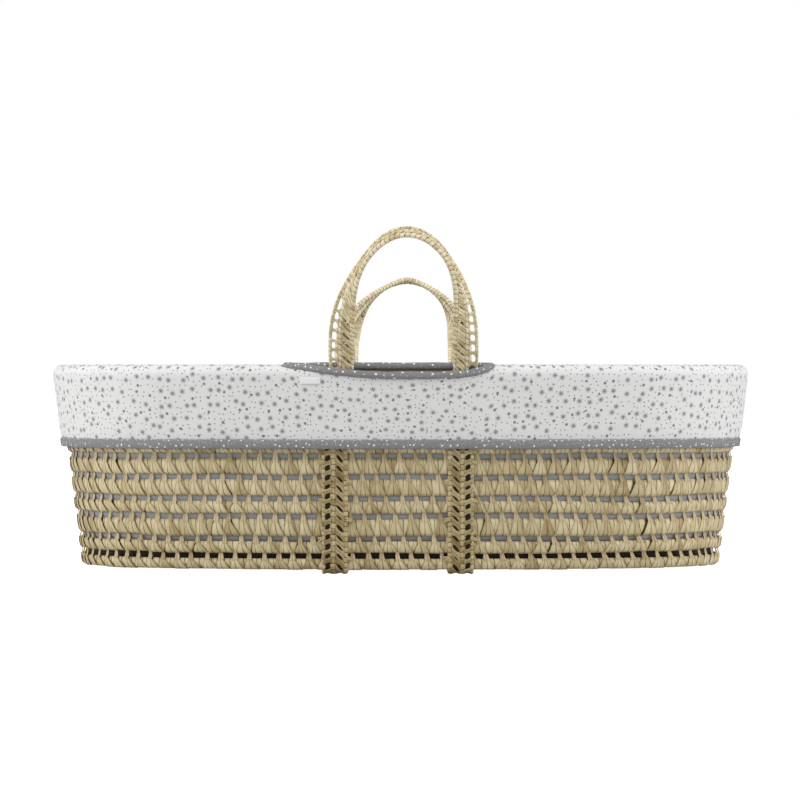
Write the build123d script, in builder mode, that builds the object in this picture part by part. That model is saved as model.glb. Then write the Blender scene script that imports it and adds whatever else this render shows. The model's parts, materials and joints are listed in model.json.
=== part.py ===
"""Oval palm-leaf Moses basket with two strap handles, a padded liner and a mattress.

The row frame has its origin on the floor under the middle of the woven base, +X along the basket,
+Y towards its rear long side and +Z up. All sizes are in millimetres.
"""

import os
from math import asin, atan2, cos, degrees, hypot, radians, sin, sqrt

from build123d import *

os.makedirs("parts", exist_ok=True)

# Woven basket. The plan is a four-arc oval, and the wall flares from its foot to its rim.
rim_half_length = 411.0
rim_half_width = 211.0
rim_end_radius = 185.0
rim_height = 233.0
wall_flare = 28.0
wall_thickness = 6.0
base_thickness = 9.0
rim_coil_height = 6.0
rim_coil_rounding = 2.5

# Strap of three wrapped palm cords, laced together side by side.
strap_thickness = 5.5
outer_cord_width = 4.0
outer_lacing_width = 5.6
middle_cord_width = 7.8
inner_lacing_width = 6.8
inner_cord_width = 6.2
lacing_thickness = 2.4
lacing_length = 5.0
lacing_pitch = 11.5
lacing_clearance = 0.5
strap_clearance = 0.25
strap_bed_clearance = 0.1
channel_clearance = 0.5
strap_spacing = 146.5
strap_shift = -3.2

# Pale stitches that tie each wall strap to the weave.
stitch_width = 4.0
stitch_height = 4.5
stitch_pitch = 22.5
stitch_proud = 0.8
stitch_start = 0.6

# Handles. Each is the strap's free arch above the rim, hinged where the palm bends over the wall.
handle_spacing = 143.4
handle_shift = 3.4
handle_leg_straight = 26.0
handle_arch_rise = 132.0
handle_twist_length = 150.0
hinge_above_rim = 15.0
hinge_clearance = 0.8
front_lean = 20.0
front_apex_roll = 95.0
rear_lean = 48.0
rear_apex_roll = 132.0

# Padded liner. The skirt hangs outside the straps and folds over the rim.
skirt_thickness = 3.0
skirt_clearance = 0.25
fold_thickness = 5.5
fold_above_rim = 12.0
fold_radius = 12.0
hem_height = 147.0
hem_depth = 10.0
hem_swell = 0.5
hem_inner_swell = 0.25
elastic_depth = 6.0
elastic_thickness = 1.6
elastic_clearance = 0.2
backing_thickness = 1.0
padding_thickness = 5.0
liner_clearance = 0.25
floor_cloth_thickness = 2.0

# Slots through the fold for the handles, with a bound edge on each side.
slot_length = 240.0
slot_shift = -14.5
slot_depth = 15.0
binding_radius = 3.0
binding_clearance = 0.2
binding_end_clearance = 1.0

# Blank sewn-in label below the front slot.
label_width = 23.0
label_height = 8.0
label_thickness = 0.6
label_shift = -104.5
label_gap = 0.2

# How far cutting blocks run past what they cut.
cut_margin = 1.0

# Mattress: a foam core in a closed cover.
mattress_thickness = 36.0
mattress_gap = 3.0
mattress_cover_thickness = 1.5
mattress_rounding = 8.0

# Heights and offsets that follow from the sizes above.
wall_foot = strap_thickness + strap_bed_clearance
fold_top = rim_height + fold_above_rim
hinge_height = rim_height + hinge_above_rim
liner_top = rim_height + rim_coil_height
skirt_standoff = strap_clearance + strap_thickness + skirt_clearance
skirt_outer = skirt_standoff + skirt_thickness
backing_outer = -wall_thickness - liner_clearance
padding_outer = backing_outer - backing_thickness - liner_clearance
padding_inner = padding_outer - padding_thickness
floor_cloth_bottom = base_thickness + liner_clearance
floor_cloth_top = floor_cloth_bottom + floor_cloth_thickness
mattress_bottom = floor_cloth_top + liner_clearance
strap_inner = strap_clearance
strap_outer = strap_clearance + strap_thickness
strap_middle = strap_clearance + strap_thickness / 2
strap_width = (
    outer_cord_width + outer_lacing_width + middle_cord_width + inner_lacing_width + inner_cord_width
)

# The strap's pieces across its width, from its outer edge at +strap_width / 2 inwards.
outer_cord = (strap_width / 2 - outer_cord_width, strap_width / 2)
outer_lacing = (outer_cord[0] - outer_lacing_width, outer_cord[0])
middle_cord = (outer_lacing[0] - middle_cord_width, outer_lacing[0])
inner_lacing = (middle_cord[0] - inner_lacing_width, middle_cord[0])
inner_cord = (-strap_width / 2, inner_lacing[0])
cords = {"outer": outer_cord, "middle": middle_cord, "inner": inner_cord}

# Geometry of the four-arc oval at the rim: two end arcs and two long side arcs, all tangent.
end_centre = rim_half_length - rim_end_radius
side_radius = (end_centre**2 + rim_half_width**2 - rim_end_radius**2) / (
    2 * (rim_half_width - rim_end_radius)
)
side_centre = side_radius - rim_half_width
end_half_angle = degrees(atan2(side_centre, end_centre))


def grow_at(height, offset=0.0):
    """How much larger than the rim the oval is, at a height and a distance outside the wall."""
    return offset + wall_flare * (height - rim_height) / (rim_height - wall_foot)


def oval(height, offset=0.0):
    """Face of the four-arc oval at a height, offset outwards from the wall's outer face."""
    grow = grow_at(height, offset)
    side_half_angle = 90 - end_half_angle
    with BuildSketch(Plane.XY.offset(height)) as outline:
        with BuildLine():
            CenterArc((end_centre, 0), rim_end_radius + grow, -end_half_angle, 2 * end_half_angle)
            CenterArc((0, -side_centre), side_radius + grow, end_half_angle, 2 * side_half_angle)
            CenterArc((-end_centre, 0), rim_end_radius + grow, 180 - end_half_angle, 2 * end_half_angle)
            CenterArc((0, side_centre), side_radius + grow, 180 + end_half_angle, 2 * side_half_angle)
        make_face()
    return outline.sketch


def side_y(x, height, offset=0.0):
    """Distance from the middle plane to the long side at x, a height and an offset."""
    return sqrt((side_radius + grow_at(height, offset)) ** 2 - x**2) - side_centre


def add_oval_block(low, high, offset, mode=Mode.ADD):
    """Solid oval block whose side runs parallel to the wall's outer face."""
    loft([oval(low, offset), oval(high, offset)], ruled=True, mode=mode)


def strap_x(height, side):
    """Centre of a wall strap: upright below the hem, then sloping to its handle leg at the rim."""
    low = strap_shift + side * strap_spacing / 2
    high = handle_shift + side * handle_spacing / 2
    share = max(0.0, (height - hem_height) / (hinge_height - hem_height))
    return low + (high - low) * share


# Woven base: a flat oval mat, with a channel for each strap that runs under it.
with BuildPart() as woven_base:
    add_oval_block(0, base_thickness, backing_outer)
    for side in (-1, 1):
        channel_width = strap_width + 2 * channel_clearance
        channel_depth = strap_thickness + 2 * strap_bed_clearance
        with Locations((strap_x(0, side), 0, strap_thickness / 2)):
            Box(channel_width, 2 * rim_half_width, channel_depth, mode=Mode.SUBTRACT)
woven_base.part.label = "woven_base"
export_step(woven_base.part, "parts/woven_base.step")

# Woven wall: one palm braid wound in a spiral, made here as a plain flared shell.
with BuildPart() as woven_wall:
    add_oval_block(wall_foot, rim_height, 0)
    add_oval_block(wall_foot, rim_height, -wall_thickness, mode=Mode.SUBTRACT)
woven_wall.part.label = "woven_wall"
export_step(woven_wall.part, "parts/woven_wall.step")

# Rim coil: the rolled palm edge on top of the wall.
with BuildPart() as rim_coil:
    add_oval_block(rim_height, liner_top, 0)
    add_oval_block(rim_height, liner_top, -wall_thickness, mode=Mode.SUBTRACT)
    fillet(rim_coil.edges().group_by(Axis.Z)[-1], rim_coil_rounding)
rim_coil.part.label = "rim_coil"
export_step(rim_coil.part, "parts/rim_coil.step")

# Wall straps: the cords are cut from one shell outside the wall, and the lacing from a thinner one.
strap_top = hinge_height - strap_thickness / 2 - hinge_clearance
lacing_inner = strap_middle - lacing_thickness / 2
lacing_outer = strap_middle + lacing_thickness / 2

with BuildPart() as cord_shell:
    add_oval_block(wall_foot, strap_top, strap_outer)
    add_oval_block(wall_foot, strap_top, strap_inner, mode=Mode.SUBTRACT)

with BuildPart() as lacing_shell:
    add_oval_block(wall_foot, strap_top, lacing_outer)
    add_oval_block(wall_foot, strap_top, lacing_inner, mode=Mode.SUBTRACT)

with BuildPart() as stitch_shell:
    add_oval_block(wall_foot, rim_height, strap_outer + stitch_proud)
    add_oval_block(wall_foot, rim_height, strap_inner, mode=Mode.SUBTRACT)

rung_count = int((strap_top - wall_foot) / lacing_pitch)
rung_heights = [wall_foot + lacing_pitch * (step + 0.5) for step in range(rung_count)]
reach = 2 * rim_half_width

for row, depth in (("front", reach), ("rear", -reach)):
    for column, side in (("left", -1), ("right", 1)):
        name = f"{row}_{column}_strap_cords"
        with BuildPart() as strap_cords:
            add(cord_shell.part)
            with BuildSketch(Plane.XZ) as cord_outlines:
                for low, high in cords.values():
                    with BuildLine():
                        Polyline(
                            (strap_x(0, side) + side * low, 0),
                            (strap_x(0, side) + side * high, 0),
                            (strap_x(hem_height, side) + side * high, hem_height),
                            (strap_x(strap_top, side) + side * high, strap_top),
                            (strap_x(strap_top, side) + side * low, strap_top),
                            (strap_x(hem_height, side) + side * low, hem_height),
                            close=True,
                        )
                    make_face()
            extrude(amount=depth, mode=Mode.INTERSECT)
        strap_cords.part.label = name
        export_step(strap_cords.part, f"parts/{name}.step")

        name = f"{row}_{column}_strap_lacing"
        with BuildPart() as strap_lacing:
            add(lacing_shell.part)
            with BuildSketch(Plane.XZ) as rungs:
                for low, high in (outer_lacing, inner_lacing):
                    places = [(strap_x(z, side) + side * (low + high) / 2, z) for z in rung_heights]
                    with Locations(*places):
                        Rectangle(high - low - 2 * lacing_clearance, lacing_length)
            extrude(amount=depth, mode=Mode.INTERSECT)
        strap_lacing.part.label = name
        export_step(strap_lacing.part, f"parts/{name}.step")

# Stitches: short palm loops beside the straps, alternately on the outer and the inner edge.
stitch_count = int((hem_height - wall_foot) / stitch_pitch)
stitch_offset = strap_width / 2 + lacing_clearance + stitch_width / 2
stitch_places = []
for side in (-1, 1):
    for step in range(stitch_count):
        z = wall_foot + stitch_pitch * (step + stitch_start)
        edge = side if step % 2 else -side
        stitch_places.append((strap_x(z, side) + edge * stitch_offset, z))

with BuildPart() as strap_stitches:
    add(stitch_shell.part)
    with BuildSketch(Plane.XZ) as stitch_outlines:
        with Locations(*stitch_places):
            Rectangle(stitch_width, stitch_height)
    extrude(amount=reach, both=True, mode=Mode.INTERSECT)
strap_stitches.part.label = "strap_stitches"
export_step(strap_stitches.part, "parts/strap_stitches.step")

# Base straps: the same three cords where they run under the base, from wall strap to wall strap.
for column, side in (("left", -1), ("right", 1)):
    name = f"{column}_base_strap"
    half_run = side_y(strap_x(0, side), wall_foot, strap_outer)
    with BuildPart() as base_strap:
        for low, high in cords.values():
            with Locations((strap_x(0, side) + side * (low + high) / 2, 0, strap_thickness / 2)):
                Box(high - low, 2 * half_run, strap_thickness)
    base_strap.part.label = name
    export_step(base_strap.part, f"parts/{name}.step")

# Handles: the strap stands on the hinge line, arches over as a half ellipse, and turns its face
# from outwards at the legs to upwards at the top.
half_spacing = handle_spacing / 2
arch_steps = 90
leg_steps = 10
leg_heights = [handle_leg_straight * step / leg_steps for step in range(leg_steps)]
centre_line = [(-half_spacing, along) for along in leg_heights]
for step in range(arch_steps + 1):
    angle = radians(180 - 180 * step / arch_steps)
    centre_line.append((half_spacing * cos(angle), handle_leg_straight + handle_arch_rise * sin(angle)))
centre_line += [(half_spacing, along) for along in reversed(leg_heights)]

line_lengths = [0.0]
for before, after in zip(centre_line, centre_line[1:]):
    line_lengths.append(line_lengths[-1] + hypot(after[0] - before[0], after[1] - before[1]))
handle_length = line_lengths[-1]


def arch_at(length):
    """Point and direction of the handle's centre line, at a length along it, in its own plane."""
    index = 1
    while index < len(line_lengths) - 1 and line_lengths[index] < length:
        index += 1
    (x0, y0), (x1, y1) = centre_line[index - 1], centre_line[index]
    span = line_lengths[index] - line_lengths[index - 1]
    share = (length - line_lengths[index - 1]) / span
    point = (x0 + (x1 - x0) * share, y0 + (y1 - y0) * share)
    return point, ((x1 - x0) / span, (y1 - y0) / span)


def strap_plane(length, shift, side, lean, apex_roll):
    """Plane across a handle's strap: x along its width to the outer edge, y through its thickness."""
    (across, along), (t_across, t_along) = arch_at(length)
    up = Vector(0, side * sin(radians(lean)), cos(radians(lean)))
    outwards = Vector(0, side * cos(radians(lean)), -sin(radians(lean)))
    hinge = Vector(handle_shift, side * hinge_y, hinge_height)
    tangent = Vector(1, 0, 0) * t_across + up * t_along
    normal = Vector(1, 0, 0) * -t_along + up * t_across
    share = min(1.0, min(length, handle_length - length) / handle_twist_length)
    roll = radians(apex_roll) * share * share * (3 - 2 * share)
    width = normal * cos(roll) - outwards * sin(roll)
    place = hinge + Vector(1, 0, 0) * across + up * along + width * shift
    return Plane(origin=place, x_dir=width, z_dir=tangent)


hinge_y = side_y(half_spacing, hinge_height, strap_middle)
section_count = 46
section_lengths = [handle_length * step / section_count for step in range(section_count + 1)]
handle_rungs = int(handle_length / lacing_pitch) - 1
handle_rung_lengths = [handle_length * (step + 1) / (handle_rungs + 1) for step in range(handle_rungs)]

for row, side, lean, apex_roll in (
    ("front", -1, front_lean, front_apex_roll),
    ("rear", 1, rear_lean, rear_apex_roll),
):
    for cord, (low, high) in cords.items():
        name = f"{row}_handle_{cord}_cord"
        with BuildPart() as handle_cord:
            for length in section_lengths:
                with BuildSketch(strap_plane(length, (low + high) / 2, side, lean, apex_roll)):
                    Rectangle(high - low, strap_thickness)
            loft(ruled=True)
        handle_cord.part.label = name
        export_step(handle_cord.part, f"parts/{name}.step")

    name = f"{row}_handle_lacing"
    outer_planes = [
        strap_plane(length, sum(outer_lacing) / 2, side, lean, apex_roll) for length in handle_rung_lengths
    ]
    inner_planes = [
        strap_plane(length, sum(inner_lacing) / 2, side, lean, apex_roll) for length in handle_rung_lengths
    ]
    outer_gap = outer_lacing_width - 2 * lacing_clearance
    inner_gap = inner_lacing_width - 2 * lacing_clearance
    with BuildPart() as handle_lacing:
        with Locations(*outer_planes):
            Box(outer_gap, lacing_thickness, lacing_length)
        with Locations(*inner_planes):
            Box(inner_gap, lacing_thickness, lacing_length)
    handle_lacing.part.label = name
    export_step(handle_lacing.part, f"parts/{name}.step")

# Liner skirt: the padded outer cloth, folded over the rim, open at the two handle slots.
skirt_foot = hem_height + hem_depth
with BuildPart() as skirt_hollow:
    add_oval_block(skirt_foot - cut_margin, fold_top - fold_thickness, skirt_standoff)
    fillet(skirt_hollow.edges().group_by(Axis.Z)[-1], fold_radius - skirt_thickness)

with BuildPart() as liner_skirt:
    add_oval_block(skirt_foot, fold_top, skirt_outer)
    fillet(liner_skirt.edges().group_by(Axis.Z)[-1], fold_radius)
    add(skirt_hollow.part, mode=Mode.SUBTRACT)
    add_oval_block(rim_height - fold_radius, fold_top + cut_margin, padding_inner, mode=Mode.SUBTRACT)
    with Locations((slot_shift, 0, fold_top)):
        Box(slot_length, 2 * reach, 2 * slot_depth, mode=Mode.SUBTRACT)
liner_skirt.part.label = "liner_skirt"
export_step(liner_skirt.part, "parts/liner_skirt.step")

# Hem binding: a folded tape round the skirt's lower edge, with an elastic inside it.
elastic_middle = (skirt_standoff + skirt_outer) / 2
elastic_low = hem_height + (hem_depth - elastic_depth) / 2
elastic_high = elastic_low + elastic_depth
tunnel_low = elastic_low - elastic_clearance
tunnel_high = elastic_high + elastic_clearance
tunnel_half = elastic_thickness / 2 + elastic_clearance
with BuildPart() as tunnel:
    add_oval_block(tunnel_low, tunnel_high, elastic_middle + tunnel_half)
    add_oval_block(tunnel_low, tunnel_high, elastic_middle - tunnel_half, mode=Mode.SUBTRACT)

with BuildPart() as hem_binding:
    add_oval_block(hem_height, skirt_foot, skirt_outer + hem_swell)
    add_oval_block(hem_height, skirt_foot, skirt_standoff - hem_inner_swell, mode=Mode.SUBTRACT)
    add(tunnel.part, mode=Mode.SUBTRACT)
hem_binding.part.label = "hem_binding"
export_step(hem_binding.part, "parts/hem_binding.step")

with BuildPart() as hem_elastic:
    add_oval_block(elastic_low, elastic_high, elastic_middle + elastic_thickness / 2)
    add_oval_block(elastic_low, elastic_high, elastic_middle - elastic_thickness / 2, mode=Mode.SUBTRACT)
hem_elastic.part.label = "hem_elastic"
export_step(hem_elastic.part, "parts/hem_elastic.step")

# Inner liner: a grey backing cloth against the weave, the padded wall inside it, and a floor cloth.
with BuildPart() as liner_backing:
    add_oval_block(floor_cloth_bottom, liner_top, backing_outer)
    add_oval_block(floor_cloth_bottom, liner_top, backing_outer - backing_thickness, mode=Mode.SUBTRACT)
liner_backing.part.label = "liner_backing"
export_step(liner_backing.part, "parts/liner_backing.step")

with BuildPart() as liner_padding:
    add_oval_block(floor_cloth_bottom, liner_top, padding_outer)
    add_oval_block(floor_cloth_bottom, liner_top, padding_inner, mode=Mode.SUBTRACT)
liner_padding.part.label = "liner_padding"
export_step(liner_padding.part, "parts/liner_padding.step")

with BuildPart() as liner_floor:
    add_oval_block(floor_cloth_bottom, floor_cloth_top, padding_inner - liner_clearance)
liner_floor.part.label = "liner_floor"
export_step(liner_floor.part, "parts/liner_floor.step")

# Slot bindings: a bound roll on the skirt's cut edge and one on the inner liner's edge.
binding_half = slot_length / 2 - binding_end_clearance
outer_roll_height = fold_top - slot_depth + binding_radius + binding_clearance
outer_roll_offset = skirt_standoff + binding_radius + binding_clearance
inner_roll_height = liner_top + binding_radius + binding_clearance
inner_roll_offset = -wall_thickness - binding_radius - binding_clearance
with BuildPart() as front_slot_binding:
    for height, offset in (
        (outer_roll_height, outer_roll_offset),
        (inner_roll_height, inner_roll_offset),
    ):
        radius = side_radius + grow_at(height, offset)
        first = degrees(asin((slot_shift - binding_half) / radius))
        last = degrees(asin((slot_shift + binding_half) / radius))
        with BuildLine(Plane.XY.offset(height)) as roll_path:
            CenterArc((0, side_centre), radius, 270 + first, last - first)
        with BuildSketch(Plane(origin=roll_path.line @ 0, z_dir=roll_path.line % 0)):
            Circle(binding_radius)
        sweep()
front_slot_binding.part.label = "front_slot_binding"
export_step(front_slot_binding.part, "parts/front_slot_binding.step")

with BuildPart() as rear_slot_binding:
    mirror(front_slot_binding.part, about=Plane.XZ)
rear_slot_binding.part.label = "rear_slot_binding"
export_step(rear_slot_binding.part, "parts/rear_slot_binding.step")

# Label tab: a blank woven tape sewn to the skirt below the front slot.
label_top = fold_top - slot_depth - label_gap
label_bottom = label_top - label_height
with BuildPart() as label_tab:
    add_oval_block(label_bottom, label_top, skirt_outer + binding_clearance + label_thickness)
    add_oval_block(label_bottom, label_top, skirt_outer + binding_clearance, mode=Mode.SUBTRACT)
    with BuildSketch(Plane.XZ) as label_outline:
        with Locations((label_shift, (label_bottom + label_top) / 2)):
            Rectangle(label_width, label_height)
    extrude(amount=reach, mode=Mode.INTERSECT)
label_tab.part.label = "label_tab"
export_step(label_tab.part, "parts/label_tab.step")

# Mattress: foam core in a closed cover, resting on the liner's floor cloth.
mattress_offset = padding_inner - mattress_gap
cover = mattress_cover_thickness
mattress_top = mattress_bottom + mattress_thickness
with BuildPart() as mattress_core:
    extrude(oval(mattress_bottom + cover, mattress_offset - cover), amount=mattress_thickness - 2 * cover)
    core_edges = mattress_core.edges().group_by(Axis.Z)
    fillet(core_edges[0] + core_edges[-1], mattress_rounding - cover)
mattress_core.part.label = "mattress_core"
export_step(mattress_core.part, "parts/mattress_core.step")

with BuildPart() as mattress_cover:
    extrude(oval(mattress_bottom, mattress_offset), amount=mattress_thickness)
    cover_edges = mattress_cover.edges().group_by(Axis.Z)
    fillet(cover_edges[0] + cover_edges[-1], mattress_rounding)
    add(mattress_core.part, mode=Mode.SUBTRACT)
mattress_cover.part.label = "mattress_cover"
export_step(mattress_cover.part, "parts/mattress_cover.step")
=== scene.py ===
"""Palm-leaf Moses basket: the looks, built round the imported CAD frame. All lengths are in metres."""

import json
import random
from math import atan2, cos, exp, floor, hypot, pi, radians, sin, sqrt

import bmesh
import bpy
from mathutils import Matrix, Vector, noise
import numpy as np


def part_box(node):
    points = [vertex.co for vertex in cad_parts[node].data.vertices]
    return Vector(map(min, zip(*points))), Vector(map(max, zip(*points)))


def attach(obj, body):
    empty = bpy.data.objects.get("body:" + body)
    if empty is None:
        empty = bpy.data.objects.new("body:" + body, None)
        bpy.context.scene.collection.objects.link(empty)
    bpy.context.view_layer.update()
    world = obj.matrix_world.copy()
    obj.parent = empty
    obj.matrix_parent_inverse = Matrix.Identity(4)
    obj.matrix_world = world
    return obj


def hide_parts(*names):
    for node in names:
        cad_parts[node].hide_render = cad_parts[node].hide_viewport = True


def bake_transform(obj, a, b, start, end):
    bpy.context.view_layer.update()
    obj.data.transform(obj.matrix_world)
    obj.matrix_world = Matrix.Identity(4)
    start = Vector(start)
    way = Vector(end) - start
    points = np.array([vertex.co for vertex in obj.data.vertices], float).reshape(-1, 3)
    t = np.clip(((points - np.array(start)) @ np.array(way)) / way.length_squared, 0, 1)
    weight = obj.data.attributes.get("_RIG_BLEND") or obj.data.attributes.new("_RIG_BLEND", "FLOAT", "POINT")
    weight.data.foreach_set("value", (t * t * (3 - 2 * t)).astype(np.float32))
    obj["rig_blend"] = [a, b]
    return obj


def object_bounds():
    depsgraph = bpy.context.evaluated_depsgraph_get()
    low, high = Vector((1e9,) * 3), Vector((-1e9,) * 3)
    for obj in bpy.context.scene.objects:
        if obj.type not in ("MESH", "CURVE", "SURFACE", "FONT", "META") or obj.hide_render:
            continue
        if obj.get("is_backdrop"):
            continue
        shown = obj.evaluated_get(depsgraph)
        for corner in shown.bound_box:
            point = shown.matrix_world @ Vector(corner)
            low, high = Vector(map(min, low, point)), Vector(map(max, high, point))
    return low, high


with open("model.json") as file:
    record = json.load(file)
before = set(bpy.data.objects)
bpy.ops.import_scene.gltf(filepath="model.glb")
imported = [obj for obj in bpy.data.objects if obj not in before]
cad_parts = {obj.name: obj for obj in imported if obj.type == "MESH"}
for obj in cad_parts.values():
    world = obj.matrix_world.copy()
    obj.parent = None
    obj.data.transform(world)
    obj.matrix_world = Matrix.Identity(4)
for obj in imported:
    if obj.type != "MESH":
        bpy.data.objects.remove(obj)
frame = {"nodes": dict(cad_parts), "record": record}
cad_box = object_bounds()
scene = bpy.context.scene

# ---------------------------------------------------------------------------------------------
# Studio: a pale floor, a white surround and soft boxes above and at both ends. The camera
# stands five metres in front of the long side at the height of the rim, with a long lens.
# ---------------------------------------------------------------------------------------------


def linear(hex_colour):
    """Linear colour of an sRGB hex value."""
    channels = [int(hex_colour[i : i + 2], 16) / 255 for i in (1, 3, 5)]
    return [c / 12.92 if c < 0.04045 else ((c + 0.055) / 1.055) ** 2.4 for c in channels] + [1.0]


def add_node(tree, kind, inputs=None, **settings):
    """A new shader node with its settings, its constant inputs and its links."""
    node = tree.nodes.new(kind)
    for name, value in settings.items():
        setattr(node, name, value)
    for key, value in (inputs or {}).items():
        if isinstance(value, bpy.types.NodeSocket):
            tree.links.new(value, node.inputs[key])
        else:
            node.inputs[key].default_value = value
    return node


def new_material(name):
    """A material with only its output and a principled shader, and that shader."""
    material = bpy.data.materials.new(name)
    material.use_nodes = True
    tree = material.node_tree
    tree.nodes.clear()
    shader = add_node(tree, "ShaderNodeBsdfPrincipled")
    add_node(tree, "ShaderNodeOutputMaterial", {"Surface": shader.outputs["BSDF"]})
    return material, tree, shader


scene.view_settings.view_transform = "Standard"

camera_place = (-0.0006, -5.0, 0.236)
camera_pitch = radians(0.388)
camera = bpy.data.objects.new("studio_camera", bpy.data.cameras.new("studio_camera"))
camera.data.lens = 185.9
camera.data.sensor_width = 36.0
camera.data.clip_end = 50.0
camera.location = camera_place
camera.rotation_euler = (pi / 2 - camera_pitch, 0, 0)
scene.collection.objects.link(camera)
scene.camera = camera

surround_light = 0.64
world = bpy.data.worlds.new("white_surround")
world.use_nodes = True
world.node_tree.nodes.clear()
seen = add_node(world.node_tree, "ShaderNodeLightPath")
strength = add_node(
    world.node_tree,
    "ShaderNodeMapRange",
    {"Value": seen.outputs["Is Camera Ray"], "To Min": surround_light, "To Max": 1.0},
)
surround = add_node(
    world.node_tree,
    "ShaderNodeBackground",
    {"Color": (1.0, 1.0, 1.0, 1.0), "Strength": strength.outputs["Result"]},
)
add_node(world.node_tree, "ShaderNodeOutputWorld", {"Surface": surround.outputs["Background"]})
scene.world = world

for name, place, aim, size, power in (
    ("top_box", (0.0, -1.4, 3.0), (0.0, 0.0, 0.1), 2.4, 39.0),
    ("left_box", (-3.1, -0.8, 0.9), (-0.3, 0.0, 0.15), 1.6, 40.0),
    ("right_box", (3.1, -0.8, 0.9), (0.3, 0.0, 0.15), 1.6, 37.0),
):
    light = bpy.data.objects.new(name, bpy.data.lights.new(name, "AREA"))
    light.data.size = size
    light.data.energy = power
    light.location = place
    light.rotation_euler = (Vector(aim) - Vector(place)).to_track_quat("-Z", "Y").to_euler()
    scene.collection.objects.link(light)

studio_white, tree, shader = new_material("bright_studio_paper")
shader.inputs["Base Color"].default_value = linear("#c8c8c6")
shader.inputs["Roughness"].default_value = 0.9
seen = add_node(tree, "ShaderNodeLightPath")
tree.links.new(seen.outputs["Is Camera Ray"], shader.inputs["Emission Strength"])
shader.inputs["Emission Color"].default_value = (1.0, 1.0, 1.0, 1.0)
paper = bmesh.new()
bmesh.ops.create_grid(paper, x_segments=1, y_segments=1, size=12.0)
floor_mesh = bpy.data.meshes.new("studio_floor")
paper.to_mesh(floor_mesh)
paper.free()
floor_mesh.materials.append(studio_white)
studio_floor = bpy.data.objects.new("studio_floor", floor_mesh)
scene.collection.objects.link(studio_floor)
studio_floor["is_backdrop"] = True

# ---------------------------------------------------------------------------------------------
# Woven wall: one long palm braid, wound in a spiral. Each course is a soft core of leaf, and
# hourglass ribbons of two or three strips tie every course to the next, fanning out over both.
# ---------------------------------------------------------------------------------------------

wall_low, wall_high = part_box("woven_wall")
foot_z = wall_low.z
rim_z = wall_high.z
half_length = wall_high.x
half_width = wall_high.y
wall_flare = 0.028
end_radius = 0.185
end_centre = half_length - end_radius
side_radius = (end_centre**2 + half_width**2 - end_radius**2) / (2 * (half_width - end_radius))
side_centre = side_radius - half_width
end_angle = atan2(side_centre, end_centre)


def grow_at(z, out=0.0):
    """How much larger than the rim's oval a line round the wall is."""
    return out + wall_flare * (z - rim_z) / (rim_z - foot_z)


def oval_lengths(grow):
    """Lengths of half a long side, and of an end, on the oval grown by that much."""
    return (side_radius + grow) * (pi / 2 - end_angle), (end_radius + grow) * 2 * end_angle


def oval_point(turn, grow):
    """Point on the oval at a share of the way round from the middle of the front."""
    half_side, end = oval_lengths(grow)
    along = (turn % 1.0) * (4 * half_side + 2 * end)
    if along < half_side:
        angle, centre, radius = 1.5 * pi + along / (side_radius + grow), (0, side_centre), side_radius
    elif along < half_side + end:
        angle = -end_angle + (along - half_side) / (end_radius + grow)
        centre, radius = (end_centre, 0), end_radius
    elif along < 3 * half_side + end:
        angle = end_angle + (along - half_side - end) / (side_radius + grow)
        centre, radius = (0, -side_centre), side_radius
    elif along < 3 * half_side + 2 * end:
        angle = pi - end_angle + (along - 3 * half_side - end) / (end_radius + grow)
        centre, radius = (-end_centre, 0), end_radius
    else:
        angle = pi + end_angle + (along - 3 * half_side - 2 * end) / (side_radius + grow)
        centre, radius = (0, side_centre), side_radius
    return Vector((centre[0] + (radius + grow) * cos(angle), centre[1] + (radius + grow) * sin(angle), 0))


def wall_point(turn, z, out):
    """Point at a share of the way round, a height and a distance outside the wall's face."""
    point = oval_point(turn, grow_at(z, out))
    point.z = z
    return point


def braid_point(turn, z, out):
    """Point on the braid, whose rows wander up and down by a millimetre or so."""
    share = min(1.0, max(0.0, (z - foot_z - 0.004) / 0.02)) * min(1.0, max(0.0, (rim_z - z) / 0.02))
    bearing = Vector((cos(2 * pi * turn), sin(2 * pi * turn), 0))
    wander = noise.noise(bearing * 3.4 + Vector((0, 0, z * 17))) * 0.0022
    return wall_point(turn, z + wander * share, out)


def girth(grow):
    """Length of the oval grown by that much."""
    half_side, end = oval_lengths(grow)
    return 4 * half_side + 2 * end


def wrap_grid(mesh, columns, rows, place, uv_size=(1.0, 1.0)):
    """Adds a grid of faces and moves each corner to place(across, along), both from 0 to 1."""
    uv_layer = mesh.loops.layers.uv.verify()
    made = bmesh.ops.create_grid(mesh, x_segments=columns, y_segments=rows, size=0.5)
    shares = {vert: (vert.co.x + 0.5, vert.co.y + 0.5) for vert in made["verts"]}
    faces = {face for vert in made["verts"] for face in vert.link_faces}
    for face in faces:
        face.smooth = True
        for loop in face.loops:
            across, along = shares[loop.vert]
            loop[uv_layer].uv = (across * uv_size[0], along * uv_size[1])
    for vert, (across, along) in shares.items():
        vert.co = place(across, along)
    return made["verts"]


def new_piece(name, mesh, material, weld=0.0, outward=False):
    """An object at the origin with that mesh and material, welded and turned outward if asked."""
    if weld:
        bmesh.ops.remove_doubles(mesh, verts=mesh.verts, dist=weld)
    if outward:
        bmesh.ops.recalc_face_normals(mesh, faces=mesh.faces)
    data = bpy.data.meshes.new(name)
    mesh.to_mesh(data)
    mesh.free()
    data.materials.append(material)
    piece = bpy.data.objects.new(name, data)
    scene.collection.objects.link(piece)
    return piece


def paint_over(tree, below, mask, colour):
    """A colour laid over another where the mask is 1."""
    mix = add_node(tree, "ShaderNodeMix", {0: mask, 6: below, 7: linear(colour)}, data_type="RGBA")
    return mix.outputs[2]


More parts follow.
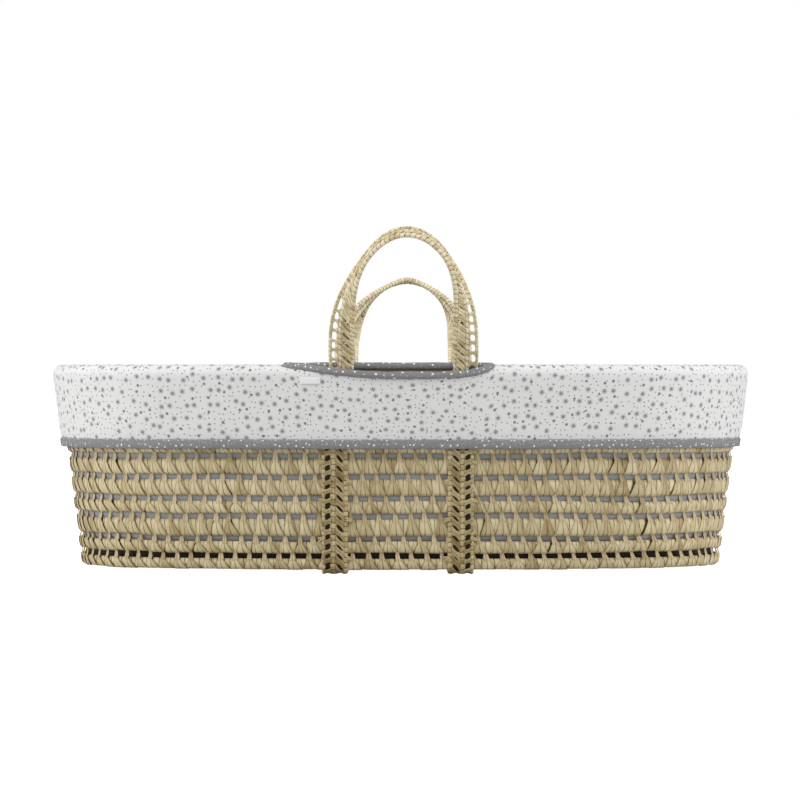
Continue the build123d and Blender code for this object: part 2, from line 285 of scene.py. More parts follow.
def palm_material(name, pale, straw, tan_brown, fibre=0.00045, gloss=0.55):
    """Dried palm leaf: flat pale strips with fine lengthwise fibres, and painted shade in the creases at
    their edges.

    U counts strips, so a whole number is a strip's edge, and V is metres along the strip. The tone
    attribute is each ribbon's own shade; the second attribute marks the brown near a tie, with painted
    shade where a ribbon tucks under and along its right border.
    """
    strip_spread, fibre_spread, blotch_spread = 0.34, 0.9, 0.5
    blotches_per_metre = 70.0
    edge_start, edge_end, edge_strength = 0.40, 0.49, 0.9
    material, tree, shader = new_material(name)
    uv = add_node(tree, "ShaderNodeUVMap")
    parts = add_node(tree, "ShaderNodeSeparateXYZ", {0: uv.outputs["UV"]})
    tone = add_node(tree, "ShaderNodeAttribute", attribute_name="tone")
    brown_and_shade = add_node(tree, "ShaderNodeAttribute", attribute_name="brown_and_shade")
    place = add_node(tree, "ShaderNodeTexCoord")

    # Fibres: noise drawn out along the strip, one fibre apart across a 4 mm strip.
    fibre_place = add_node(
        tree,
        "ShaderNodeCombineXYZ",
        {"X": parts.outputs["X"], "Y": parts.outputs["Y"], "Z": tone.outputs["Fac"]},
    )
    fibre_scaled = add_node(
        tree,
        "ShaderNodeVectorMath",
        {0: fibre_place.outputs["Vector"], 1: (0.004 / fibre, 90.0, 40.0)},
        operation="MULTIPLY",
    )
    fibres = add_node(
        tree,
        "ShaderNodeTexNoise",
        {"Vector": fibre_scaled.outputs["Vector"], "Scale": 1.0, "Detail": 3.0, "Roughness": 0.6},
    )
    blotches = add_node(
        tree,
        "ShaderNodeTexNoise",
        {"Vector": place.outputs["Object"], "Scale": blotches_per_metre, "Detail": 2.0},
    )

    # Each strip has its own shade, drawn from its number and its ribbon's tone.
    strip_number = add_node(tree, "ShaderNodeMath", {0: parts.outputs["X"]}, operation="FLOOR")
    tone_key = add_node(tree, "ShaderNodeMath", {0: tone.outputs["Fac"], 1: 57.0}, operation="MULTIPLY")
    strip_key = add_node(
        tree, "ShaderNodeCombineXYZ", {"X": strip_number.outputs[0], "Y": tone_key.outputs[0]}
    )
    strip_tone = add_node(
        tree, "ShaderNodeTexWhiteNoise", {"Vector": strip_key.outputs["Vector"]}, noise_dimensions="2D"
    )
    shade = tone.outputs["Fac"]
    for variation, spread in (
        (strip_tone.outputs["Value"], strip_spread),
        (fibres.outputs["Fac"], fibre_spread),
        (blotches.outputs["Fac"], blotch_spread),
    ):
        offset = add_node(
            tree, "ShaderNodeMath", {0: variation, 1: spread, 2: -spread / 2}, operation="MULTIPLY_ADD"
        )
        shade = add_node(tree, "ShaderNodeMath", {0: offset.outputs[0], 1: shade}, operation="ADD").outputs[0]
    leaf = add_node(tree, "ShaderNodeValToRGB", {"Fac": shade})
    leaf.color_ramp.elements[0].color = linear(tan_brown)
    leaf.color_ramp.elements[0].position = 0.12
    leaf.color_ramp.elements[1].color = linear(pale)
    leaf.color_ramp.elements[1].position = 0.85
    leaf.color_ramp.elements.new(0.5).color = linear(straw)

    # Brown at the ties and painted shade at tucked edges, then painted shade in the crease between strips.
    brown_and_shade_amount = add_node(
        tree, "ShaderNodeMath", {0: brown_and_shade.outputs["Fac"], 1: blotches.outputs["Fac"]}, operation="MULTIPLY"
    )
    colour = paint_over(tree, leaf.outputs["Color"], brown_and_shade_amount.outputs[0], "#8f6c35")
    strip_share = add_node(tree, "ShaderNodeMath", {0: parts.outputs["X"]}, operation="FRACT")
    from_middle = add_node(tree, "ShaderNodeMath", {0: strip_share.outputs[0], 1: 0.5}, operation="SUBTRACT")
    from_middle = add_node(tree, "ShaderNodeMath", {0: from_middle.outputs[0]}, operation="ABSOLUTE")
    edge = add_node(
        tree,
        "ShaderNodeMapRange",
        {"Value": from_middle.outputs[0], "From Min": edge_start, "From Max": edge_end},
    )
    crease_shade = add_node(
        tree, "ShaderNodeMath", {0: edge.outputs["Result"], 1: edge_strength}, operation="MULTIPLY"
    )
    colour = paint_over(tree, colour, crease_shade.outputs[0], "#35260f")
    tree.links.new(colour, shader.inputs["Base Color"])
    shader.inputs["Roughness"].default_value = gloss
    shader.inputs["Specular IOR Level"].default_value = 0.35
    height = add_node(
        tree,
        "ShaderNodeMath",
        {0: edge.outputs["Result"], 1: -1.2, 2: fibres.outputs["Fac"]},
        operation="MULTIPLY_ADD",
    )
    bump = add_node(
        tree, "ShaderNodeBump", {"Height": height.outputs[0], "Strength": 0.55, "Distance": 0.0006}
    )
    tree.links.new(bump.outputs["Normal"], shader.inputs["Normal"])
    return material


palm_leaf = palm_material("dried_palm_leaf", "#dfd0a9", "#c9b98f", "#94794a")
palm_core = palm_material("shaded_palm_core", "#a08a5c", "#83703f", "#5a4726")

chance = random.Random(7)
ribbons_round = 110
row_pitch = 0.0224
# How far each open row of this hand-made wall lies above an even spacing.
row_drift = (0.0, -0.0024, 0.0011, -0.0007, 0.0021, 0.0041, 0.0020, 0.0005)
lowest_gap = foot_z + 0.016
gap_height = 0.0074
row_offset = 0.58
tie_width = 0.0044

gap_rows = []
while lowest_gap + row_pitch * len(gap_rows) < rim_z - 0.006:
    drift = row_drift[len(gap_rows)] if len(gap_rows) < len(row_drift) else 0.0
    gap_rows.append(lowest_gap + row_pitch * len(gap_rows) + drift)
course_spans = []
for row in range(len(gap_rows) + 1):
    low = foot_z + 0.0004 if row == 0 else gap_rows[row - 1] + gap_height / 2
    high = rim_z - 0.0004 if row == len(gap_rows) else gap_rows[row] - gap_height / 2
    course_spans.append((low, high))


def add_ribbon(mesh, turn, upper, lower, surface, length_round):
    """One hourglass ribbon, from the top of the upper course to the foot of the lower one."""
    tone_layer = mesh.verts.layers.float.get("tone") or mesh.verts.layers.float.new("tone")
    brown_and_shade_layer = mesh.verts.layers.float.get("brown_and_shade") or mesh.verts.layers.float.new("brown_and_shade")
    wide = length_round / ribbons_round * chance.uniform(0.97, 1.10)
    wide_foot = length_round / ribbons_round * chance.uniform(0.97, 1.10)
    tie = tie_width * chance.uniform(0.85, 1.25)
    head_shift = -0.0018 + chance.uniform(-0.0016, 0.0016)
    foot_shift = 0.0022 + chance.uniform(-0.0016, 0.0016)
    proud = chance.uniform(0.0, 0.0008)
    upper_low, upper_high = upper
    lower_low, lower_high = lower
    upper_tall, lower_tall = upper_high - upper_low, lower_high - lower_low
    sag = chance.uniform(-0.0008, 0.0004)
    # Height, distance out, width, sideways shift and brown-and-shade amount of each cross-section, from
    # the top: browner round the tie, with painted shade where the ribbon curls under at either end.
    stations = (
        (upper_high - 0.0010, -0.0040, wide * 0.95, head_shift, 0.2),
        (upper_high + 0.0006, -0.0012, wide * 1.04, head_shift, 0.1),
        (upper_high - upper_tall * 0.22, 0.0004, wide * 0.86, head_shift * 0.78, 0.0),
        (upper_high - upper_tall * 0.55, 0.0007, wide * 0.62, head_shift * 0.45, 0.0),
        (upper_low + upper_tall * 0.12, 0.0002, tie * 1.3, head_shift * 0.22, 0.3),
        (upper_low - 0.0012, -0.0010, tie, -0.0004, 0.35),
        (lower_high + 0.0012, 0.0002 + proud, tie * 1.35, 0.0002, 0.5),
        (lower_high - 0.0006, 0.0014 + proud, tie * 1.5, 0.0006, 0.45),
        (lower_high - lower_tall * 0.17, 0.0010 + proud, tie * 1.35, foot_shift * 0.26, 0.35),
        (lower_high - lower_tall * 0.30, 0.0013 + proud, tie * 2.0, foot_shift * 0.38, 0.1),
        (lower_high - lower_tall * 0.52, 0.0015 + proud, wide_foot * 0.66, foot_shift * 0.52, 0.0),
        (lower_low + lower_tall * 0.14, 0.0009 + proud, wide_foot * 0.94, foot_shift * 0.88, 0.0),
        (lower_low - 0.0004 + sag, -0.0010, wide_foot * 1.03, foot_shift, 0.1),
        (lower_low + 0.0016, -0.0042, wide_foot * 0.95, foot_shift, 0.3),
    )
    strips = 3 if chance.random() < 0.45 else 2
    split = chance.uniform(-0.12, 0.12)
    tone = min(0.95, max(0.1, chance.gauss(0.62, 0.11)))
    last = len(stations) - 1

    def place(across, along):
        index = min(int(along * last + 0.5), last)
        z, out, width, shift, _ = stations[index]
        crest = 0.00035 * abs(sin(2 * pi * (across + split * sin(pi * across)))) * min(1.0, width / 0.009)
        curl = -0.0004 * (2 * across - 1) ** 4
        side = (across - 0.5 + split * 0.3 * sin(2 * pi * across)) * width + shift
        cant = 0.0011 * (across - 0.5) if 0.5 < along < 0.95 else 0.0
        return surface(turn + side / length_round, z, out + crest + curl + cant)

    faces_across = 4
    size = (strips, upper_tall + lower_tall + gap_height)
    for number, vert in enumerate(wrap_grid(mesh, faces_across, last, place, size)):
        station, corner = divmod(number, faces_across + 1)
        # Painted shade along each ribbon's right border.
        border_shade = 0.75 if corner == faces_across else 0.0
        vert[tone_layer] = tone
        vert[brown_and_shade_layer] = max(border_shade, stations[station][4])


wall_weave = bmesh.new()
row_turn = 0.0
for row in range(len(gap_rows) - 1, -1, -1):
    row_turn += row_offset / ribbons_round
    round_here = girth(grow_at(gap_rows[row]))
    for number in range(ribbons_round):
        turn = row_turn + (number + chance.uniform(-0.09, 0.09)) / ribbons_round
        add_ribbon(wall_weave, turn, course_spans[row + 1], course_spans[row], braid_point, round_here)

# The lowest course has a short ribbon over each of its ties, tucked under the base.
foot_low, foot_high = course_spans[0]
for number in range(ribbons_round):
    turn = row_turn + (number + row_offset + chance.uniform(-0.12, 0.12)) / ribbons_round
    tone = min(0.95, max(0.1, chance.gauss(0.56, 0.12)))
    wide = girth(grow_at(foot_low)) / ribbons_round * chance.uniform(1.0, 1.12)
    foot_steps = (
        (foot_high - 0.0012, -0.0040, 0.96),
        (foot_high + 0.0002, -0.0016, 1.0),
        (foot_high - 0.0030, 0.0000, 1.0),
        ((foot_low + foot_high) / 2, 0.0003, 0.96),
        (foot_low + 0.0030, -0.0004, 0.90),
        (foot_low + 0.0004, -0.0024, 0.84),
        (foot_low - 0.0006, -0.0060, 0.80),
    )

    def foot_place(across, along, turn=turn, wide=wide, foot_steps=foot_steps):
        z, out, share = foot_steps[min(int(along * 6 + 0.5), 6)]
        crest = 0.0004 * abs(sin(2 * pi * across))
        side = (across - 0.5) * wide * share + (0.5 - along) * -0.0035
        return wall_point(turn + side / round_here, z, out + crest)

    tone_layer = wall_weave.verts.layers.float["tone"]
    for vert in wrap_grid(wall_weave, 4, 6, foot_place, (3 if number % 3 else 2, 0.016)):
        vert[tone_layer] = tone
braid = new_piece("wall_braid", wall_weave, palm_leaf)

core_deep = 0.0024
core_strip = 0.0035
wall_cores = bmesh.new()
for low, high in course_spans:
    tall = (high - low) / 2

    def core_place(across, along, low=low, tall=tall):
        angle = 2 * pi * along
        return braid_point(across, low + tall * (1 - cos(angle) * 0.94), -0.0027 + core_deep * sin(angle))

    round_here = girth(grow_at(low + tall))
    wrap_grid(wall_cores, 168, 8, core_place, (floor(round_here / core_strip), 0.04))
cores = new_piece("wall_braid_core", wall_cores, palm_core, weld=1e-6, outward=True)
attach(braid, "basket")
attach(cores, "basket")
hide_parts("woven_wall")
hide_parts("woven_wall")

# ---------------------------------------------------------------------------------------------
# Backing cloth: plain grey cotton against the inside of the weave. The wadding behind presses it
# into soft rolls at the open rows, and it ends just above the lowest row, where the weave is dark.
# ---------------------------------------------------------------------------------------------


def cloth_material(name, colour, darker, thread=0.0006):
    """Woven cotton in one colour, with a fine thread bump and slow changes of tone."""
    material, tree, shader = new_material(name)
    place = add_node(tree, "ShaderNodeTexCoord")
    slow = add_node(tree, "ShaderNodeTexNoise", {"Vector": place.outputs["Object"], "Scale": 22.0})
    fine = add_node(
        tree,
        "ShaderNodeTexNoise",
        {"Vector": place.outputs["Object"], "Scale": 0.6 / thread, "Detail": 2.0},
    )
    amount = add_node(
        tree, "ShaderNodeMath", {0: slow.outputs["Fac"], 1: fine.outputs["Fac"]}, operation="MULTIPLY"
    )
    tint = add_node(
        tree,
        "ShaderNodeMix",
        {0: amount.outputs[0], 6: linear(colour), 7: linear(darker)},
        data_type="RGBA",
    )
    tree.links.new(tint.outputs[2], shader.inputs["Base Color"])
    shader.inputs["Roughness"].default_value = 0.92
    shader.inputs["Specular IOR Level"].default_value = 0.2
    bump = add_node(
        tree, "ShaderNodeBump", {"Height": fine.outputs["Fac"], "Strength": 0.3, "Distance": 0.0003}
    )
    tree.links.new(bump.outputs["Normal"], shader.inputs["Normal"])
    return material, tree, shader, tint


grey_cloth = cloth_material("grey_cotton_cloth", "#9d9da0", "#75757a")[0]
cloth_foot = gap_rows[0] + 0.009
backing_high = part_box("liner_backing")[1].z


def cloth_out(z):
    """How far the backing cloth stands from the wall's outer face at a height."""
    press = max(exp(-(((z - row) / 0.0065) ** 4)) for row in gap_rows)
    return -0.0062 + 0.0040 * press


def backing_place(across, along):
    z = cloth_foot + (backing_high - cloth_foot) * along
    tuck = exp(-along * 40) * 0.011
    slack = 0.0005 * noise.noise(Vector((across * 90, z * 60, 3.1)))
    return wall_point(across, z, cloth_out(z) - tuck + slack)


backing_mesh = bmesh.new()
wrap_grid(backing_mesh, 240, 76, backing_place, (girth(0.0), backing_high - cloth_foot))
backing = new_piece("liner_backing_cloth", backing_mesh, grey_cloth, weld=1e-6)
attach(backing, "basket")
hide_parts("liner_backing")
girth(-0.012)

# ---------------------------------------------------------------------------------------------
# Woven base: the same braid laid flat in oval courses, on a mat of its own cores. Only its outer
# edge is seen, as the low coil that the wall stands on.
# ---------------------------------------------------------------------------------------------

base_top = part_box("woven_base")[1].z
base_under = foot_z - 0.0012
mat_low = base_under + 0.003
mat_grow = grow_at(foot_z, -0.0075)
base_edge = grow_at(foot_z, -0.004)
base_rows = [base_edge - 0.004 - row_pitch * (step + 0.5) for step in range(6)]
base_spans = [(base_rows[-1] - row_pitch, base_rows[-1] - gap_height / 2)]
for row in range(len(base_rows) - 1, 0, -1):
    base_spans.append((base_rows[row] + gap_height / 2, base_rows[row - 1] - gap_height / 2))
base_spans.append((base_rows[0] + gap_height / 2, base_edge))


def base_point(turn, grow, out):
    """Point on the underside of the base, at a share of the way round and a size of oval."""
    point = oval_point(turn, grow)
    point.z = base_under + 0.0025 - out * 0.5
    return point


base_weave = bmesh.new()
for row, grow in enumerate(reversed(base_rows)):
    for number in range(ribbons_round // 2):
        turn = (number + row_offset * row + chance.uniform(-0.09, 0.09)) * 2 / ribbons_round
        add_ribbon(base_weave, turn, base_spans[row + 1], base_spans[row], base_point, girth(grow) * 2)
base_braid = new_piece("base_braid", base_weave, palm_leaf)


def oval_disc(mesh, z, grow):
    """A flat oval of that size at a height, closed at its middle."""

    def place(across, along):
        point = oval_point(across, grow) * along
        point.z = z
        return point

    verts = wrap_grid(mesh, 120, 8, place)
    uv_layer = mesh.loops.layers.uv.verify()
    for face in {face for vert in verts for face in vert.link_faces}:
        for loop in face.loops:
            loop[uv_layer].uv = (loop.vert.co.x, loop.vert.co.y)


# A near-black ring of leaf behind the lowest open row: painted shade for the dark inside of the base there.
inner_coil_mesh = bmesh.new()


def inner_coil_place(across, along):
    angle = 2 * pi * along
    z = gap_rows[0] - 0.0015 + 0.0125 * cos(angle)
    return wall_point(across, z, -0.0092 + 0.0022 * sin(angle))


wrap_grid(inner_coil_mesh, 168, 8, inner_coil_place, (floor(girth(0.0) / core_strip), 0.04))
shaded_leaf = palm_material("unlit_inner_palm", "#4d3d26", "#35291a", "#1c150b")
inner_coil = new_piece("base_inner_coil", inner_coil_mesh, shaded_leaf, weld=1e-6, outward=True)
mat_mesh = bmesh.new()
mat_high = base_top - 0.0005
for z in (mat_low, mat_high):
    oval_disc(mat_mesh, z, mat_grow)


def mat_edge(across, along):
    return oval_point(across, mat_grow) + Vector((0, 0, mat_low + (mat_high - mat_low) * along))


wrap_grid(mat_mesh, 120, 2, mat_edge)
base_mat = new_piece("base_mat", mat_mesh, palm_core, weld=1e-5, outward=True)
for piece in (base_braid, base_mat, inner_coil):
    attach(piece, "basket")
    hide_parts("woven_base")

# ---------------------------------------------------------------------------------------------
# Straps and handles: each is three palm cords side by side, wound tightly with leaf and laced
# together with diagonal strips. They run up both sides from under the base, then arch over.
# ---------------------------------------------------------------------------------------------

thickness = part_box("left_base_strap")[1].z
strap_middle = 0.00025 + thickness / 2
# Where each cord and each open gap lies across the strap, from its middle.
outer_cord = (0.0112, 0.0152)
outer_gap = (0.0056, 0.0112)
middle_cord = (-0.0022, 0.0056)
inner_gap = (-0.0090, -0.0022)
inner_cord = (-0.0152, -0.0090)
joints = {joint["name"]: joint for joint in frame["record"]["behaviour"]["joints"]}
hinge_x, hinge_y, hinge_z = joints["rear_handle_fold"]["pos_m"]
hem_low, hem_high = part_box("hem_binding")
strap_half = 0.1465 / 2
strap_shift = -0.0032
handle_half = 0.1434 / 2
strap_turn = 0.010
strap_ends = hinge_z - 0.024


def strap_x(z, column):
    """Centre of a wall strap at a height: upright below the hem, then sloping to its handle leg."""
    share = min(1.0, max(0.0, (z - hem_low.z) / (hinge_z - hem_low.z)))
    low, high = strap_shift + column * strap_half, hinge_x + column * handle_half
    return low + (high - low) * share


def side_y(x, grow):
    """Distance from the middle plane to the long side of an oval grown by that much."""
    return sqrt((side_radius + grow) ** 2 - x * x) - side_centre


def wall_frame(length, column, row):
    """Centre, direction, width and outward directions of a strap, from mid-base up to the rim."""
    foot_x = strap_x(0, column)
    foot_y = side_y(foot_x, grow_at(foot_z + strap_turn, strap_middle))
    flat = foot_y - strap_turn
    bend = strap_turn * pi / 2
    width = Vector((column, 0, 0))
    if length < flat:
        point, along = Vector((foot_x, row * length, thickness / 2)), Vector((0, row, 0))
        outward = Vector((0, 0, -1))
    elif length < flat + bend:
        angle = (length - flat) / strap_turn
        y, z = flat + strap_turn * sin(angle), thickness / 2 + strap_turn * (1 - cos(angle))
        point = Vector((foot_x, row * y, z))
        along = Vector((0, row * cos(angle), sin(angle)))
        outward = Vector((0, row * sin(angle), -cos(angle)))
    else:
        z = thickness / 2 + strap_turn + length - flat - bend
        x = strap_x(z, column)
        point = Vector((x, row * side_y(x, grow_at(z, strap_middle)), z))
        slope = wall_flare / (rim_z - foot_z)
        along = Vector((0, row * slope, 1)).normalized()
        outward = Vector((0, row, -slope)).normalized()
    return point, along, width, outward


def wall_length(column):
    """Length of a strap's run from mid-base to where the handle takes over."""
    foot_y = side_y(strap_x(0, column), grow_at(foot_z + strap_turn, strap_middle))
    return foot_y - strap_turn + strap_turn * pi / 2 + strap_ends - thickness / 2 - strap_turn


leg_straight = 0.026
arch_rise = 0.132
arch_steps = 120
leg_reach = hinge_z - strap_ends


def handle_line(fullness, skew):
    """Points of a handle's arch in its own plane, from foot to foot, and the lengths along it."""
    line = [(-handle_half, leg_straight * step / 8) for step in range(8)]
    for step in range(arch_steps + 1):
        angle = pi - pi * step / arch_steps
        wide = abs(cos(angle)) ** (2 / fullness) * (1 if cos(angle) > 0 else -1)
        high = sin(angle) ** (2 / fullness) if 0 < step < arch_steps else 0.0
        lean = skew * high * high * (3 - 2 * high)
        line.append((handle_half * wide + lean, leg_straight + arch_rise * high))
    line += [(handle_half, leg_straight * (7 - step) / 8) for step in range(8)]
    lengths = [0.0]
    for before, after in zip(line, line[1:]):
        lengths.append(lengths[-1] + hypot(after[0] - before[0], after[1] - before[1]))
    return line, lengths


def handle_frame(length, row, lean, apex_roll, twist_length, arch_line, arch_lengths):
    """Centre, direction, width and face directions of a handle, from its left foot to its right."""
    arch_length = arch_lengths[-1]
    inside = min(arch_length, max(0.0, length))
    index = 1
    while index < len(arch_lengths) - 1 and arch_lengths[index] < inside:
        index += 1
    span = arch_lengths[index] - arch_lengths[index - 1]
    share = (inside - arch_lengths[index - 1]) / span
    (x0, y0), (x1, y1) = arch_line[index - 1], arch_line[index]
    across, along = x0 + (x1 - x0) * share, y0 + (y1 - y0) * share
    t_across, t_along = (x1 - x0) / span, (y1 - y0) / span
    up = Vector((0, row * sin(lean), cos(lean)))
    outwards = Vector((0, row * cos(lean), -sin(lean)))
    tangent = Vector((t_across, 0, 0)) + up * t_along
    normal = Vector((-t_along, 0, 0)) + up * t_across
    rolled = min(1.0, min(inside, arch_length - inside) / twist_length)
    roll = apex_roll * rolled * rolled * (3 - 2 * rolled)
    width = normal * cos(roll) - outwards * sin(roll)
    point = Vector((hinge_x + across, row * hinge_y, hinge_z)) + up * along
    face = width.cross(tangent) * row
    below = max(0.0, -length, length - arch_length)
    if below:
        slope = wall_flare / (rim_z - foot_z)
        down = Vector((0, -row * slope, -1)).normalized()
        point += down * below
        tangent = -down if length < 0 else down
    return point, tangent, width, face


def add_cord(mesh, frame_at, start, stop, span, wrap, tilt, groove_depth=0.20):
    """A cord wound with leaf between two lengths of a strap: each turn is a low round swelling."""
    tone_layer = mesh.verts.layers.float.get("tone") or mesh.verts.layers.float.new("tone")
    mesh.verts.layers.float.get("brown_and_shade") or mesh.verts.layers.float.new("brown_and_shade")
    low, high = span
    around, rows_per_turn = 10, 5
    turns = max(1, round((stop - start) / wrap))
    shades = [min(0.95, max(0.25, chance.gauss(0.62, 0.12))) for _ in range(turns + 2)]
    leans = [chance.uniform(-0.10, 0.10) for _ in range(turns + 2)]

    def place(across, along):
        angle = 2 * pi * across
        phase = along * turns
        groove = min(phase % 1.0, 1 - phase % 1.0) * 2
        swell = 1.04 - groove_depth * (1 - sqrt(min(1.0, groove * 1.6)))
        lean = (tilt + leans[int(phase)] * 0.5) * cos(angle) * wrap
        ends = min(1.0, 0.3 + 8 * min(along, 1 - along))
        point, tangent, width, face = frame_at(start + (stop - start) * along + lean)
        shift = (low + high) / 2 + cos(angle) * (high - low) / 2 * swell * ends
        lift = sin(angle) * thickness / 2 * swell * ends
        return point + width * shift + face * lift

    verts = wrap_grid(mesh, around, turns * rows_per_turn, place, (1.0, turns))
    uv_layer = mesh.loops.layers.uv.verify()
    for index, vert in enumerate(verts):
        vert[tone_layer] = shades[index // (around + 1) // rows_per_turn]
    for face in {face for vert in verts for face in vert.link_faces}:
        for loop in face.loops:
            u, v = loop[uv_layer].uv
            loop[uv_layer].uv = (v, u * 2 * (high - low + thickness))


def add_lacing(mesh, frame_at, start, stop, span, pitch, strip, slant, lift=0.0012, waist_share=0.22):
    """Diagonal leaf strips from cord to cord, with an open hole between each two."""
    tone_layer = mesh.verts.layers.float.get("tone") or mesh.verts.layers.float.new("tone")
    mesh.verts.layers.float.get("brown_and_shade") or mesh.verts.layers.float.new("brown_and_shade")
    low, high = span
    for step in range(int((stop - start) / pitch)):
        at = start + pitch * (step + 0.5) + chance.uniform(-0.0012, 0.0012)
        wide = strip * chance.uniform(0.85, 1.12)
        slope = slant * chance.uniform(0.85, 1.15)
        shade = min(0.95, max(0.25, chance.gauss(0.58, 0.12)))

        def place(across, along, at=at, wide=wide, slope=slope):
            waist = 1 + waist_share * (1 - 2 * sin(pi * along))
            point, tangent, width, face = frame_at(
                at + (across - 0.5) * wide * waist + (along - 0.5) * slope
            )
            shift = low - 0.0014 + (high - low + 0.0028) * along
            bulge = abs(lift) + abs(lift) * (2 * along - 1) ** 2 + 0.0005 * (1 - (2 * across - 1) ** 2)
            bulge *= 1 if lift > 0 else -1
            return point + width * shift + face * bulge

        for vert in wrap_grid(mesh, 4, 5, place, (2.0, 0.011)):
            vert[tone_layer] = shade


# Paler copies for the handles, painted lighter where they face the lamps, and darker copies for the wall
# straps, painted shade on the upright straps.
palm_cord = palm_material("wound_palm_leaf", "#ecdfc0", "#d9cba6", "#a68f5e", fibre=0.0004)
palm_strip = palm_material("palm_lacing_leaf", "#e3d5af", "#cdbd93", "#96804f")
shaded_strap_cord = palm_material("shaded_wound_palm_leaf", "#c9b98f", "#ae9b6f", "#735d34", fibre=0.0004)
shaded_strap_lacing = palm_material("shaded_palm_lacing_leaf", "#bdac82", "#a08d61", "#6c5730")

for column, side in (("left", -1), ("right", 1)):
    cord_mesh, lace_mesh = bmesh.new(), bmesh.new()
    for row in (-1, 1):

        def at_wall(length, side=side, row=row):
            return wall_frame(max(0.0, length), side, row)

        run = wall_length(side)
        for span, wrap in ((outer_cord, 0.0056), (middle_cord, 0.0068), (inner_cord, 0.0060)):
            add_cord(cord_mesh, at_wall, 0.0, run, span, wrap, tilt=0.06)
        add_lacing(lace_mesh, at_wall, 0.0, run, inner_gap, 0.0116, 0.0098, -0.0085 * side)
        add_lacing(lace_mesh, at_wall, 0.004, run, outer_gap, 0.0115, 0.0070, 0.0030 * side)
        # A near-black leaf sheet just behind the strap: painted shade that darkens the open holes between its
        # cords.
        shade_backing_mesh = bmesh.new()

        def shade_backing_place(across, along, at_wall=at_wall, run=run):
            point, tangent, width, face = at_wall(run * along)
            return point + width * (across - 0.5) * 0.026 - face * 0.0003

        wrap_grid(shade_backing_mesh, 2, 120, shade_backing_place, (4.0, run))
        end = "front" if row < 0 else "rear"
        shade_backing = new_piece(f"{column}_{end}_strap_shade_backing", shade_backing_mesh, shaded_leaf)
        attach(shade_backing, "basket")
    names = [f"front_{column}_strap_cords", f"rear_{column}_strap_cords", f"{column}_base_strap"]
    strap = new_piece(f"{column}_strap_wound_cords", cord_mesh, shaded_strap_cord, weld=1e-6, outward=True)
    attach(strap, "basket")
    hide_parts(*names)
    laces = new_piece(f"{column}_strap_laces", lace_mesh, shaded_strap_lacing)
    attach(laces, "basket")
    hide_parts(f"front_{column}_strap_lacing", f"rear_{column}_strap_lacing")

# Row, lean and twist in degrees, length of the twist, fullness of the arch and its sideways lean.
for name, row, lean, roll, twist, fullness, skew in (
    ("front", -1, 20.0, 91.0, 0.140, 2.0, 0.004),
    ("rear", 1, 48.0, 132.0, 0.172, 1.78, 0.005),
):
    body = f"{name}_handle"
    arch_line, arch_lengths = handle_line(fullness, skew)
    arch_length = arch_lengths[-1]

    def on_handle(length, bend=(row, radians(lean), radians(roll), twist, arch_line, arch_lengths)):
        return handle_frame(length, *bend)

    first, last = -leg_reach - 0.002, arch_length + leg_reach + 0.002
    made = []
    for cord, span, wrap in (
        ("outer", outer_cord, 0.0056),
        ("middle", middle_cord, 0.0068),
        ("inner", inner_cord, 0.0060),
    ):
        cord_mesh = bmesh.new()
        add_cord(cord_mesh, on_handle, first, last, span, wrap, tilt=0.25, groove_depth=0.12)
        piece = new_piece(f"{name}_handle_{cord}_wound", cord_mesh, palm_cord, weld=1e-6, outward=True)
        made.append((piece, f"{body}_{cord}_cord", "palm_cord"))
    lace_mesh = bmesh.new()
    add_lacing(lace_mesh, on_handle, first, last, inner_gap, 0.0096, 0.0092, 0.0088, waist_share=0.12)
    add_lacing(lace_mesh, on_handle, first, last, inner_gap, 0.0096, 0.0092, -0.0070, -0.0012, 0.12)
    open_leg = 0.074
    for start, stop, strip, waist in (
        (first, open_leg, 0.0068, 0.5),
        (open_leg, arch_length - open_leg, 0.0118, 0.1),
        (arch_length - open_leg, last, 0.0068, 0.5),
    ):
        add_lacing(lace_mesh, on_handle, start, stop, outer_gap, 0.0115, strip, 0.0016, waist_share=waist)
    laces = new_piece(f"{name}_handle_laces", lace_mesh, palm_strip)
    made.append((laces, f"{body}_lacing", "palm_lacing"))
    for piece, node, finish in made:
        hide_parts(node)
        hinge = Vector((hinge_x, row * hinge_y, hinge_z))
        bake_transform(piece, "basket", body, hinge - Vector((0, 0, 0.012)), hinge + Vector((0, 0, 0.012)))

# ---------------------------------------------------------------------------------------------
# Stitches: short doubled strands of pale leaf that tie both edges of each strap to the braid.
# ---------------------------------------------------------------------------------------------

pale_leaf = palm_material("pale_palm_stitch", "#efe6cf", "#dccfae", "#b9a478")
stitch_mesh = bmesh.new()
stitch_pitch = 0.0225
for column in (-1, 1):
    for step in range(6):
        z = foot_z + stitch_pitch * (step + 0.6)
        edge = column if step % 2 else -column
        for row in (-1, 1):
            for strand in (-1, 1):
                centre_x = strap_x(z, column) + edge * 0.0158
                tilt = 0.30 * edge + strand * 0.16 + chance.uniform(-0.1, 0.1)
                long, wide = 0.0048 * chance.uniform(0.85, 1.15), 0.0013
                lift = chance.uniform(0.0, 0.0008)

                def place(across, along):
                    angle = 2 * pi * across
                    reach = (2 * along - 1) * long
                    girdle = sqrt(max(0.0, 1 - (2 * along - 1) ** 4)) * wide
                    right = reach * cos(tilt) + cos(angle) * girdle * sin(tilt)
                    upward = reach * -sin(tilt) + cos(angle) * girdle * cos(tilt) + strand * 0.0011
                    out = 0.0048 + lift - 0.0030 * (2 * along - 1) ** 2 + sin(angle) * girdle * 0.8
                    point_x = centre_x + right
                    depth = side_y(point_x, grow_at(z + upward, out))
                    return Vector((point_x, row * depth, z + upward))

                wrap_grid(stitch_mesh, 8, 8, place, (1.0, 0.01))
stitches = new_piece("strap_edge_stitches", stitch_mesh, pale_leaf, weld=1e-6, outward=True)
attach(stitches, "basket")
